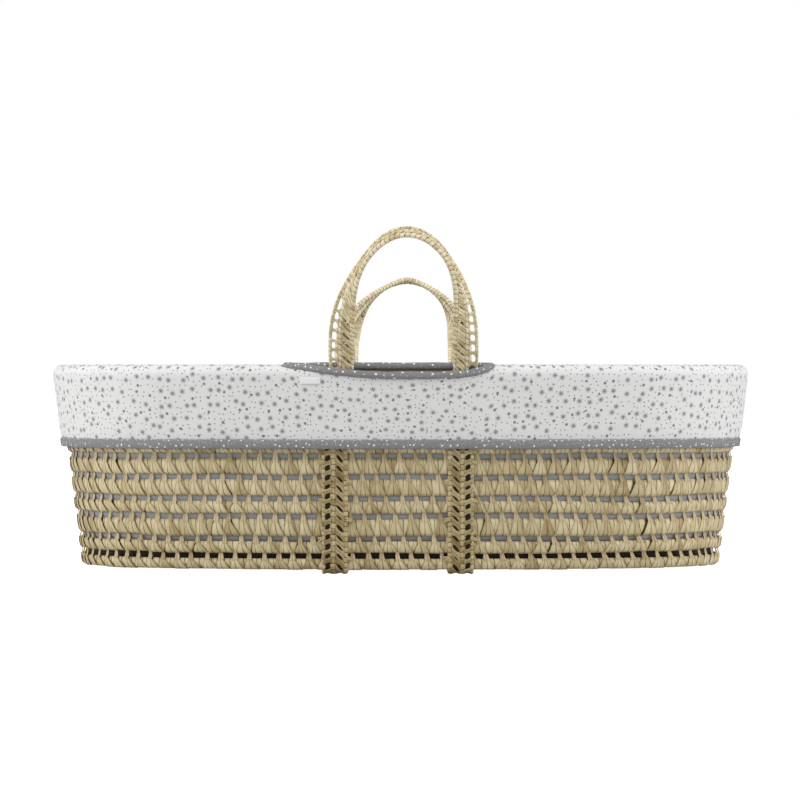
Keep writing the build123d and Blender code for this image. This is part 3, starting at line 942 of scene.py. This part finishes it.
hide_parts("strap_stitches")

# ---------------------------------------------------------------------------------------------
# Liner skirt: wadded white cotton with a small grey print of stars and dots. It hangs outside the
# weave, folds over the rim, and is slit along both long sides where the handles come through.
# ---------------------------------------------------------------------------------------------


def print_mask(tree, uv, pitch, shift, radius, keep, star=False):
    """Masks of a cloth's scattered marks: 1 on each mark, and 1 wherever no mark is near."""
    moved = add_node(
        tree,
        "ShaderNodeVectorMath",
        {0: uv, 1: (1 / pitch, 1 / pitch, 0.0), 2: (shift, shift * 0.7, 0.0)},
        operation="MULTIPLY_ADD",
    )
    cells = add_node(
        tree,
        "ShaderNodeTexVoronoi",
        {"Vector": moved.outputs["Vector"], "Scale": 1.0, "Randomness": 0.6},
        voronoi_dimensions="2D",
    )
    local = add_node(
        tree,
        "ShaderNodeVectorMath",
        {0: moved.outputs["Vector"], 1: cells.outputs["Position"]},
        operation="SUBTRACT",
    )
    parts = add_node(tree, "ShaderNodeSeparateXYZ", {0: local.outputs["Vector"]})
    draw = add_node(
        tree, "ShaderNodeTexWhiteNoise", {"Vector": cells.outputs["Color"]}, noise_dimensions="3D"
    )
    edge = radius / pitch
    reach = edge
    if star:
        rays, ray_length, heart, sharpness = 8, 0.72, 0.28, 1.4
        angle = add_node(
            tree, "ShaderNodeMath", {0: parts.outputs["Y"], 1: parts.outputs["X"]}, operation="ARCTAN2"
        )
        turned = add_node(
            tree,
            "ShaderNodeMath",
            {0: draw.outputs["Value"], 1: 6.0, 2: angle.outputs[0]},
            operation="MULTIPLY_ADD",
        )
        points = add_node(
            tree,
            "ShaderNodeMath",
            {0: turned.outputs[0], 1: rays / (2 * pi), 2: 40.0},
            operation="MULTIPLY_ADD",
        )
        wave = add_node(tree, "ShaderNodeMath", {0: points.outputs[0], 1: 0.5}, operation="PINGPONG")
        wave = add_node(tree, "ShaderNodeMath", {0: wave.outputs[0], 1: 2.0}, operation="MULTIPLY")
        wave = add_node(tree, "ShaderNodeMath", {0: wave.outputs[0], 1: sharpness}, operation="POWER")
        reach = add_node(
            tree,
            "ShaderNodeMath",
            {0: wave.outputs[0], 1: edge * ray_length, 2: edge * heart},
            operation="MULTIPLY_ADD",
        ).outputs[0]
    inside = add_node(tree, "ShaderNodeMath", {0: reach, 1: cells.outputs["Distance"]}, operation="SUBTRACT")
    soft = add_node(
        tree,
        "ShaderNodeMapRange",
        {"Value": inside.outputs[0], "From Min": 0.0, "From Max": 0.00035 / pitch},
    )
    chosen = add_node(tree, "ShaderNodeMath", {0: draw.outputs["Value"], 1: keep}, operation="LESS_THAN")
    mark = add_node(
        tree, "ShaderNodeMath", {0: soft.outputs["Result"], 1: chosen.outputs[0]}, operation="MULTIPLY"
    )
    clear = add_node(
        tree,
        "ShaderNodeMapRange",
        {"Value": cells.outputs["Distance"], "From Min": edge * 1.25, "From Max": edge * 1.3},
    )
    unused = add_node(tree, "ShaderNodeMath", {0: 1.0, 1: chosen.outputs[0]}, operation="SUBTRACT")
    clear = add_node(
        tree, "ShaderNodeMath", {0: clear.outputs["Result"], 1: unused.outputs[0]}, operation="MAXIMUM"
    )
    return mark.outputs[0], clear.outputs[0]


star_cloth, tree, shader, tint = cloth_material("star_print_cotton", "#e3e3e3", "#d8d8d8")
uv = add_node(tree, "ShaderNodeUVMap").outputs["UV"]
stars, off_stars = print_mask(tree, uv, 0.0148, 3.3, 0.0043, 0.88, star=True)
dots = print_mask(tree, uv, 0.0170, 11.7, 0.0019, 0.7)[0]
specks = print_mask(tree, uv, 0.0064, 23.1, 0.00088, 0.85)[0]
dots = add_node(tree, "ShaderNodeMath", {0: dots, 1: off_stars}, operation="MULTIPLY").outputs[0]
specks = add_node(tree, "ShaderNodeMath", {0: specks, 1: off_stars}, operation="MULTIPLY").outputs[0]
colour = paint_over(tree, tint.outputs[2], specks, "#4e4e4f")
colour = paint_over(tree, colour, dots, "#828283")
colour = paint_over(tree, colour, stars, "#838384")
tree.links.new(colour, shader.inputs["Base Color"])
shader.inputs["Sheen Weight"].default_value = 0.08

dotted_cloth, tree, shader, tint = cloth_material("dotted_grey_binding", "#8a8a8b", "#7c7c7e")
uv = add_node(tree, "ShaderNodeUVMap").outputs["UV"]
dots = print_mask(tree, uv, 0.0078, 5.1, 0.0011, 0.8)[0]
specks = print_mask(tree, uv, 0.0042, 17.3, 0.00055, 0.75)[0]
colour = paint_over(tree, tint.outputs[2], specks, "#d8d8da")
colour = paint_over(tree, colour, dots, "#f4f4f5")
tree.links.new(colour, shader.inputs["Base Color"])

# The skirt's section, as distances out from the wall's face and heights, from the hem over the rim.
skirt_out = 0.009
skirt_foot = hem_high.z - 0.0015
skirt_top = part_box("liner_skirt")[1].z
corner = 0.0135
inner_corner = 0.0055
inner_out = -0.0135
tuck = 0.0014
skirt_profile = [
    (skirt_out - tuck, skirt_foot),
    (skirt_out - tuck * 0.6, skirt_foot + 0.003),
    (skirt_out, skirt_foot + 0.011),
]
for step in range(13):
    angle = pi / 2 * step / 12
    skirt_profile.append((skirt_out - corner + corner * cos(angle), skirt_top - corner + corner * sin(angle)))
for step in range(7):
    angle = pi / 2 + pi / 2 * step / 6
    out = inner_out + inner_corner + inner_corner * cos(angle)
    skirt_profile.append((out, skirt_top - inner_corner + inner_corner * sin(angle)))
skirt_profile.append((inner_out, skirt_top - 0.018))
skirt_lengths = [0.0]
for before, after in zip(skirt_profile, skirt_profile[1:]):
    skirt_lengths.append(skirt_lengths[-1] + hypot(after[0] - before[0], after[1] - before[1]))
skirt_length = skirt_lengths[-1]
fold_length = skirt_lengths[12]


def skirt_at(length):
    """Offset and height of the skirt's cross-section at a length from its hem."""
    index = 1
    while index < len(skirt_lengths) - 1 and skirt_lengths[index] < length:
        index += 1
    share = (length - skirt_lengths[index - 1]) / (skirt_lengths[index] - skirt_lengths[index - 1])
    (d0, z0), (d1, z1) = skirt_profile[index - 1], skirt_profile[index]
    return d0 + (d1 - d0) * share, z0 + (z1 - z0) * share


slot_middle = -0.0145
slot_half = 0.1205
slot_dip = 0.0145
slot_back = 0.0095


def slot_shape(share):
    """Openness of a handle slot from its left end at -1 to its right end at 1."""
    return 1 - abs(share) ** 1.7 if share < 0 else (1 - share**5) ** 0.6


def slot_opening(point):
    """How far the handle slot is open at a place: 0 beyond its ends and 1 at its middle."""
    share = (point.x - slot_middle) / slot_half
    if abs(point.y) < half_width * 0.8 or abs(share) >= 1:
        return 0.0
    return slot_shape(share)


def puff(turn, z, length):
    """Soft unevenness of the wadded cloth, with small gathers near the hem."""
    place = wall_point(turn, z, 0.0)
    slow = noise.noise(place * 9.0) * 0.0011 + noise.noise(place * 24.0 + Vector((7, 3, 1))) * 0.0005
    gather = noise.noise(Vector((cos(2 * pi * turn), sin(2 * pi * turn), z * 0.4)) * 42.0) * 0.0007
    gather *= exp(-length / 0.018)
    return slow * min(1.0, length / 0.02) + gather


def outer_skirt_place(across, along):
    """Point on the skirt between its hem and its fold, where the slots' outer lips dip."""
    turn = across + 0.5
    opening = slot_opening(oval_point(turn, grow_at(skirt_top)))
    length = (fold_length - opening * slot_dip) * along
    out, z = skirt_at(length)
    return wall_point(turn, z, out + puff(turn, z, length) * (1 - 0.6 * opening))


def inner_skirt_place(across, along):
    """Point on the skirt inside its fold, where the slots' inner lips lie further in."""
    turn = across + 0.5
    opening = slot_opening(oval_point(turn, grow_at(skirt_top)))
    lip = fold_length + opening * slot_back
    length = lip + (skirt_length - lip) * along
    out, z = skirt_at(length)
    return wall_point(turn, z, out + puff(turn, z, length) * 0.6)


skirt_mesh = bmesh.new()
columns = 384
uv_scale = girth(0.005)
wrap_grid(skirt_mesh, columns, 26, outer_skirt_place, (uv_scale, fold_length))
wrap_grid(skirt_mesh, columns, 12, inner_skirt_place, (uv_scale, skirt_length - fold_length))
skirt = new_piece("liner_outer_skirt", skirt_mesh, star_cloth, weld=2e-6)
wadding = skirt.modifiers.new("wadding", "SOLIDIFY")
wadding.thickness = 0.0022
wadding.offset = -1.0
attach(skirt, "basket")
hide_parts("liner_skirt")
girth(0.004)

# ---------------------------------------------------------------------------------------------
# Bindings: grey dotted tape. One is folded round the hem over an elastic, and one makes a soft
# roll round the edge of each handle slot.
# ---------------------------------------------------------------------------------------------


def hem_place(across, along):
    angle = 2 * pi * along
    across += 0.5
    wave = noise.noise(wall_point(across, hem_low.z, 0.0) * 26.0) * 0.0007
    tall, deep = 0.0055, 0.0023
    flat = abs(cos(angle)) ** 0.6 * (1 if cos(angle) > 0 else -1)
    z = (hem_low.z + hem_high.z) / 2 + tall * abs(sin(angle)) ** 0.75 * (1 if sin(angle) > 0 else -1)
    return wall_point(across, z + wave, 0.0078 + deep * flat + wave * 0.6)


hem_mesh = bmesh.new()
wrap_grid(hem_mesh, 300, 16, hem_place, (girth(0.0), 0.030))
hem = new_piece("hem_tape", hem_mesh, dotted_cloth, weld=1e-6, outward=True)
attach(hem, "basket")
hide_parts("hem_binding")
girth(0.0)


def slot_edge(share, row):
    """Point on the closed edge of a handle slot: along its outer lip, then back by its inner lip."""
    outer = share < 0.5
    swing = -cos(2 * pi * share)
    x = slot_middle + slot_half * 0.998 * swing
    opening = slot_shape(swing)
    length = fold_length - opening * slot_dip if outer else fold_length + opening * slot_back
    out, z = skirt_at(length)
    return Vector((x, row * side_y(x, grow_at(z, out)), z + (-0.0008 if outer else -0.0022)))


roll_radius = 0.0045
for name, row in (("front", -1), ("rear", 1)):

    def roll_place(across, along, row=row):
        point = slot_edge(along % 1.0, row)
        ahead = slot_edge((along + 0.002) % 1.0, row)
        back = slot_edge((along - 0.002) % 1.0, row)
        tangent = (ahead - back).normalized()
        upward = (Vector((0, 0, 1)) - tangent * tangent.z).normalized()
        sideways = tangent.cross(upward)
        angle = 2 * pi * across
        radius = roll_radius * (1 + 0.12 * noise.noise(point * 70.0))
        return point + sideways * cos(angle) * radius + upward * sin(angle) * radius

    roll_mesh = bmesh.new()
    wrap_grid(roll_mesh, 12, 160, roll_place, (0.0226, 0.50))
    roll = new_piece(f"{name}_slot_roll", roll_mesh, dotted_cloth, weld=1e-6, outward=True)
    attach(roll, "basket")
    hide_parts(f"{name}_slot_binding")

# ---------------------------------------------------------------------------------------------
# Label: a small blank folded tape, sewn in below the front slot.
# ---------------------------------------------------------------------------------------------

label_cloth = cloth_material("woven_label_tape", "#f1f1f1", "#dedede", thread=0.0003)[0]
label_low, label_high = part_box("label_tab")


def label_place(across, along):
    x = label_low.x + (label_high.x - label_low.x) * across
    z = label_low.z + (label_high.z - label_low.z) * along
    curl = 0.0006 * sin(pi * across) + 0.0004 * along
    return Vector((x, -side_y(x, grow_at(z, skirt_out + 0.0009 + curl)), z))


label_mesh = bmesh.new()
wrap_grid(label_mesh, 12, 6, label_place, (0.023, 0.008))
label = new_piece("blank_label", label_mesh, label_cloth)
fold = label.modifiers.new("fold", "SOLIDIFY")
fold.thickness = 0.0006
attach(label, "basket")
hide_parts("label_tab")

# ---------------------------------------------------------------------------------------------
# Rim coil: the last turn of the braid, bound into a soft palm roll under the liner's fold.
# ---------------------------------------------------------------------------------------------

coil_low, coil_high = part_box("rim_coil")
coil_turns = 240


def coil_place(across, along):
    angle = 2 * pi * across
    phase = along * coil_turns % 1.0
    groove = min(phase, 1 - phase) * 2
    swell = 0.86 + 0.14 * sqrt(groove)
    out = -0.003 + cos(angle) * 0.0030 * swell
    return wall_point(along, (coil_low.z + coil_high.z) / 2 + sin(angle) * 0.0031 * swell, out)


coil_mesh = bmesh.new()
wrap_grid(coil_mesh, 8, 960, coil_place, (0.02, coil_turns))
coil = new_piece("rim_palm_roll", coil_mesh, palm_cord, weld=1e-6, outward=True)
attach(coil, "basket")
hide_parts("rim_coil")

# ---------------------------------------------------------------------------------------------
# Inside of the liner: a wadded wall in the same print, quilted in soft upright channels, and a
# floor cloth under the mattress.
# ---------------------------------------------------------------------------------------------

padding_low, padding_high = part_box("liner_padding")
padding_outer = -0.0075
padding_inner = -0.0125
channels = 56


def padding_place(across, along):
    """Point on the wadded wall, going up its outer face and down its inner one."""
    face, edge, inner_end = 0.42, 0.08, 0.92
    tall = padding_high.z - padding_low.z - 0.002
    if along < face:
        share, out = along / face, padding_outer
    elif along < 0.5:
        share, out = 1.0, padding_outer + (padding_inner - padding_outer) * (along - face) / edge
    elif along < inner_end:
        share, out = 1 - (along - 0.5) / face, padding_inner
    else:
        share, out = 0.0, padding_inner + (padding_outer - padding_inner) * (along - inner_end) / edge
    z = padding_low.z + 0.001 + tall * share
    if 0.5 < along < inner_end:
        out -= 0.0016 * abs(sin(pi * channels * across)) ** 0.6 * sin(pi * share) ** 0.3
        out += 0.0007 * noise.noise(wall_point(across, z, 0.0) * 30.0)
    return wall_point(across, z, out)


padding_mesh = bmesh.new()
wrap_grid(padding_mesh, channels * 6, 50, padding_place, (girth(-0.01), 0.46))
padding = new_piece("liner_inner_wall", padding_mesh, star_cloth, weld=1e-6, outward=True)
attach(padding, "basket")
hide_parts("liner_padding")

floor_low, floor_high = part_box("liner_floor")
floor_grow = floor_high.x - half_length
floor_mesh = bmesh.new()
for z in (floor_low.z, floor_high.z):
    oval_disc(floor_mesh, z, floor_grow)


def floor_edge(across, along):
    z = floor_low.z + (floor_high.z - floor_low.z) * along
    return oval_point(across, floor_grow) + Vector((0, 0, z))


wrap_grid(floor_mesh, 120, 1, floor_edge)
floor_cloth = new_piece("liner_floor_cloth", floor_mesh, star_cloth, weld=1e-5, outward=True)
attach(floor_cloth, "basket")
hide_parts("liner_floor")

# ---------------------------------------------------------------------------------------------
# Mattress: a foam core in a quilted white cotton cover, filled out by cloth simulation.
# ---------------------------------------------------------------------------------------------

quilt_cloth, tree, shader, tint = cloth_material("quilted_white_cotton", "#f0f0ee", "#e4e4e1")
shader.inputs["Sheen Weight"].default_value = 0.08
cover_low, cover_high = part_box("mattress_cover")
cover_grow = cover_high.x - half_length
rounding = 0.010


def cover_place(across, along):
    """Point on the cover, from the middle of its underside round its edge to the middle of its top."""
    flat, rounded = 0.35, 0.30
    middle = (cover_low.z + cover_high.z) / 2
    half = (cover_high.z - cover_low.z) / 2 - 0.0005
    if along < flat:
        point, z = oval_point(across, cover_grow - rounding) * (along / flat), middle - half
    elif along > 1 - flat:
        point, z = oval_point(across, cover_grow - rounding) * ((1 - along) / flat), middle + half
    else:
        angle = pi * ((along - flat) / rounded - 0.5)
        bulge = rounding * cos(angle) ** 0.6
        point, z = oval_point(across, cover_grow - rounding + bulge + 0.0009), middle + half * sin(angle)
    point.z = z
    return point


def bake_modifiers(piece):
    """Makes a piece's modifiers its own mesh."""
    graph = bpy.context.evaluated_depsgraph_get()
    baked = bpy.data.meshes.new_from_object(piece.evaluated_get(graph))
    piece.modifiers.clear()
    piece.data = baked


def fill_with_wadding(piece, voxel, pressure, cap, sideways):
    """Swells a closed cloth piece by cloth simulation, moving no point by more than the cap."""
    remesh = piece.modifiers.new("even_faces", "REMESH")
    remesh.mode = "VOXEL"
    remesh.voxel_size = voxel
    bake_modifiers(piece)
    for face in piece.data.polygons:
        face.use_smooth = True
    cut = [vert.co.copy() for vert in piece.data.vertices]
    cloth = piece.modifiers.new("wadding", "CLOTH")
    cloth.settings.quality = 5
    cloth.settings.use_pressure = True
    cloth.settings.uniform_pressure_force = pressure
    cloth.settings.effector_weights.gravity = 0.0
    cloth.collision_settings.use_collision = False
    settled = 20
    cloth.point_cache.frame_start = 1
    cloth.point_cache.frame_end = settled
    for moment in range(1, settled + 1):
        scene.frame_set(moment)
    bake_modifiers(piece)
    scene.frame_set(1)
    for vert, before in zip(piece.data.vertices, cut):
        shift = vert.co - before
        shift = Vector((shift.x * sideways, shift.y * sideways, shift.z))
        vert.co = before + shift * min(1.0, cap / max(shift.length, 1e-9))


cover_mesh = bmesh.new()
wrap_grid(cover_mesh, 160, 60, cover_place)
cover = new_piece("mattress_quilted_cover", cover_mesh, quilt_cloth, weld=1e-5, outward=True)
fill_with_wadding(cover, 0.006, 4.0, 0.006, 0.15)

# Quilting: a lattice of crossed seams, 52 mm apart, with the top puffed between them.
quilt_pitch = 0.052
for vert in cover.data.vertices:
    if vert.co.z > cover_high.z - 0.006:
        across = abs(sin(pi * (vert.co.x + vert.co.y) / quilt_pitch))
        along = abs(sin(pi * (vert.co.x - vert.co.y) / quilt_pitch))
        puffed = min(across, along) ** 0.55
        vert.co.z = max(cover_high.z - 0.0004, vert.co.z + 0.0035 * puffed - 0.0022)
smooth = cover.modifiers.new("smooth", "SUBSURF")
smooth.levels = 1
smooth.render_levels = 1
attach(cover, "mattress")
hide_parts("mattress_cover")

# ---------------------------------------------------------------------------------------------
# Hidden pieces that keep their made shape: the foam core and the knitted elastic in the hem.
# ---------------------------------------------------------------------------------------------

foam = cloth_material("open_cell_foam", "#efe9cf", "#ddd4b0", thread=0.0012)[0]
knit = cloth_material("knitted_elastic", "#ebebe6", "#cfcfc8", thread=0.0005)[0]
for node, material in (("mattress_core", foam), ("hem_elastic", knit)):
    for material_slot in frame["nodes"][node].material_slots:
        material_slot.material = material

size = {
    "cad_box": [list(corner) for corner in cad_box],
    "visual_box": [list(corner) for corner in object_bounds()],
}
